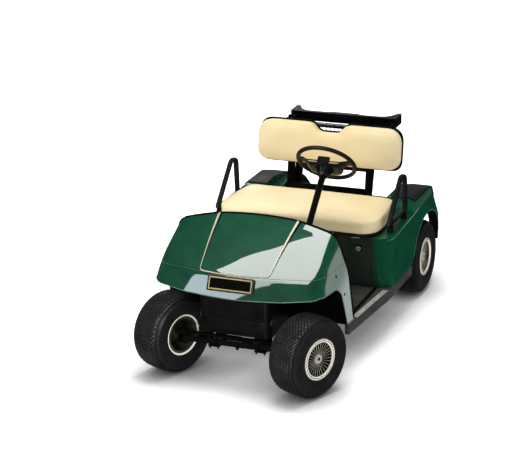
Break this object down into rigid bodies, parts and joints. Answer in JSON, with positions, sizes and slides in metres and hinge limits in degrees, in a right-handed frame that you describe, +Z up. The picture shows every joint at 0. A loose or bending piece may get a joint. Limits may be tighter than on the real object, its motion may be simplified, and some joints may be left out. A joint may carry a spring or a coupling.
{
  "type": "golf cart",
  "caption": "Two-seat electric golf cart: plastic body, bench seat, steered front wheels, lifting seat and a bag rack over a rear bag well.",
  "frame": {"origin": "bottom centre of the cart's box, on the ground between the four wheels", "axes": "+X the driver's (left) side, +Y towards the rear (the cart faces -Y), +Z up"},
  "size_m": [1.1878, 2.4414, 1.1914],
  "materials": {
    "frame_paint": "satin black paint",
    "floor_plastic": "textured",
    "mat_rubber": "ribbed",
    "sill_plastic": "textured grey",
    "bright_aluminium": "bright anodised",
    "body_green": "high gloss",
    "badge_black": "gloss with a gold border",
    "black_plastic": "fine grain",
    "pad_plastic": "ribbed",
    "cream_vinyl": "smooth marine vinyl",
    "seat_board": "sealed board",
    "plated_steel": "zinc plated",
    "padded_foam": "integral skin foam",
    "rack_plastic": "fine grain",
    "basket_wire": "coated wire",
    "wheel_plastic": "fine grain",
    "battery_case": "plain",
    "cast_iron": "painted casting",
    "motor_paint": "satin black paint",
    "spring_steel": "dark",
    "turf_tyre": "turf tread",
    "rim_cream": "gloss enamel",
    "cover_black": "black with bright fins"
  },
  "bodies": {
    "chassis": {"chassis_frame": "frame_paint", "floor_pan": "floor_plastic", "floor_mat": "mat_rubber", "sill_panels": "sill_plastic", "step_strips": "bright_aluminium", "front_cowl": "body_green", "badge_plate": "badge_black", "front_fascia": "black_plastic", "splash_guards": "black_plastic", "instrument_panel": "black_plastic", "rear_body": "body_green", "seat_apron": "black_plastic", "switch_panel": "black_plastic", "fender_pads": "pad_plastic", "bagwell": "black_plastic", "rear_bumper": "frame_paint", "seat_hinge_pins": "plated_steel", "seat_back_cushion": "cream_vinyl", "seat_back_shell": "black_plastic", "seat_back_struts": "frame_paint", "hip_restraints": "padded_foam", "bag_rack_posts": "frame_paint", "bag_rack": "rack_plastic", "sweater_basket": "basket_wire", "steering_column": "frame_paint", "pedals": "frame_paint", "battery_pack": "battery_case", "rear_axle": "cast_iron", "drive_motor": "motor_paint", "rear_leaf_springs": "spring_steel", "shock_absorbers": "spring_steel", "front_axle": "frame_paint", "front_dampers": "spring_steel", "front_leaf_springs": "spring_steel"},
    "left_knuckle": {"knuckle_left": "cast_iron"},
    "right_knuckle": {"knuckle_right": "cast_iron"},
    "tie_rod": {"tie_rod": "plated_steel"},
    "steering_wheel": {"steering_wheel": "wheel_plastic"},
    "seat": {"seat_cushion": "cream_vinyl", "seat_base": "seat_board"},
    "wheel_front_left": {"tyre_front_left": "turf_tyre", "rim_front_left": "rim_cream", "cover_front_left": "cover_black"},
    "wheel_front_right": {"tyre_front_right": "turf_tyre", "rim_front_right": "rim_cream", "cover_front_right": "cover_black"},
    "wheel_rear_left": {"tyre_rear_left": "turf_tyre", "rim_rear_left": "rim_cream", "cover_rear_left": "cover_black"},
    "wheel_rear_right": {"tyre_rear_right": "turf_tyre", "rim_rear_right": "rim_cream", "cover_rear_right": "cover_black"}
  },
  "joints": [
    {"name": "steer_left", "type": "hinge", "parent": "chassis", "child": "left_knuckle", "pos_m": [0.33, -0.94429, 0.2285], "axis": [0, 0, 1], "range_deg": [-9, 55]},
    {"name": "steer_right", "type": "hinge", "parent": "chassis", "child": "right_knuckle", "pos_m": [-0.33, -0.94429, 0.2285], "axis": [0, 0, 1], "range_deg": [-10, 56]},
    {"name": "tie_rod_swing", "type": "hinge", "parent": "left_knuckle", "child": "tie_rod", "pos_m": [0.30851, -0.99491, 0.2783], "axis": [0, 0, 1], "range_deg": [-56, 10]},
    {"name": "steering_wheel_turn", "type": "hinge", "parent": "chassis", "child": "steering_wheel", "pos_m": [0.23, -0.12329, 1.056], "axis": [0, 0.7314, 0.682], "range_deg": [-85, 500]},
    {"name": "seat_lift", "type": "hinge", "parent": "chassis", "child": "seat", "pos_m": [0, 0.40971, 0.603], "axis": [-1, 0, 0], "range_deg": [0, 60]},
    {"name": "spin_front_left", "type": "hinge", "parent": "left_knuckle", "child": "wheel_front_left", "pos_m": [0.42389, -0.98414, 0.2285], "axis": [0.9205, -0.3907, 0], "continuous": true},
    {"name": "spin_front_right", "type": "hinge", "parent": "right_knuckle", "child": "wheel_front_right", "pos_m": [-0.42389, -0.90443, 0.2285], "axis": [0.9205, -0.3907, 0], "continuous": true},
    {"name": "spin_rear_left", "type": "hinge", "parent": "chassis", "child": "wheel_rear_left", "pos_m": [0.484, 0.71571, 0.2285], "axis": [1, 0, 0], "continuous": true},
    {"name": "spin_rear_right", "type": "hinge", "parent": "chassis", "child": "wheel_rear_right", "pos_m": [-0.484, 0.71571, 0.2285], "axis": [1, 0, 0], "continuous": true}
  ],
  "couplings": [
    {"joint": "steer_right", "follows": "steer_left", "ratio": 1},
    {"joint": "tie_rod_swing", "follows": "steer_left", "ratio": -1},
    {"joint": "steering_wheel_turn", "follows": "steer_left", "ratio": 9}
  ]
}
